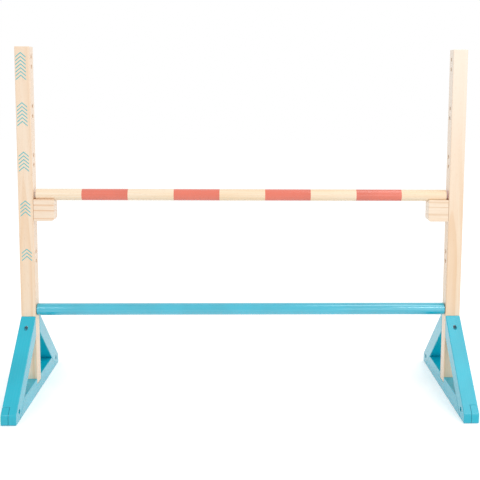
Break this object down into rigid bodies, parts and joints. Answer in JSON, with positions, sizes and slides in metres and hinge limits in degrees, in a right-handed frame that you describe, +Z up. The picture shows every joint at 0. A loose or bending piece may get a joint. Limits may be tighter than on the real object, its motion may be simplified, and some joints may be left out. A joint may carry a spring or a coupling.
{
  "type": "wooden jump hurdle",
  "caption": "Wooden jump hurdle: posts in A-frame feet tied by a fixed crossbar, with a loose striped pole lying on rest blocks pegged into sockets that set its height.",
  "frame": {"origin": "on the floor, midway between the posts and midway between the toes of the feet", "axes": "+X along the bars, +Y away from the jumper's side, from the printed front to the back, +Z up"},
  "size_m": [0.915, 0.354, 0.72],
  "materials": {
    "post_pine": "bare planed pine, satin",
    "rest_pine": "bare sanded pine, satin",
    "peg_wood": "bare beech dowel",
    "foot_paint": "light blue satin paint on wood",
    "bar_paint": "light blue satin paint on wood",
    "pole_stripes": "bare wood and coral painted bands, satin",
    "screw_steel": "zinc plated steel"
  },
  "bodies": {
    "frame": {"left_post": "post_pine", "left_front_leg": "foot_paint", "left_back_leg": "foot_paint", "left_floor_rail": "foot_paint", "left_front_leg_screw": "screw_steel", "left_back_leg_screw": "screw_steel", "left_front_lap_screw": "screw_steel", "left_back_lap_screw": "screw_steel", "left_crossbar_screw": "screw_steel", "left_post_screw": "screw_steel", "right_post": "post_pine", "right_front_leg": "foot_paint", "right_back_leg": "foot_paint", "right_floor_rail": "foot_paint", "right_front_leg_screw": "screw_steel", "right_back_leg_screw": "screw_steel", "right_front_lap_screw": "screw_steel", "right_back_lap_screw": "screw_steel", "right_crossbar_screw": "screw_steel", "right_post_screw": "screw_steel", "crossbar": "bar_paint"},
    "pole": {"jump_pole": "pole_stripes"},
    "left_rest": {"left_rest": "rest_pine", "left_rest_upper_peg": "peg_wood", "left_rest_lower_peg": "peg_wood"},
    "right_rest": {"right_rest": "rest_pine", "right_rest_upper_peg": "peg_wood", "right_rest_lower_peg": "peg_wood"}
  },
  "joints": [
    {"name": "pole_lift", "type": "slide", "parent": "frame", "child": "pole", "axis": [0, 0, 1], "range_m": [0, 0.33]},
    {"name": "left_rest_pull", "type": "slide", "parent": "frame", "child": "left_rest", "axis": [1, 0, 0], "range_m": [0, 0.02]},
    {"name": "right_rest_pull", "type": "slide", "parent": "frame", "child": "right_rest", "axis": [-1, 0, 0], "range_m": [0, 0.02]}
  ]
}
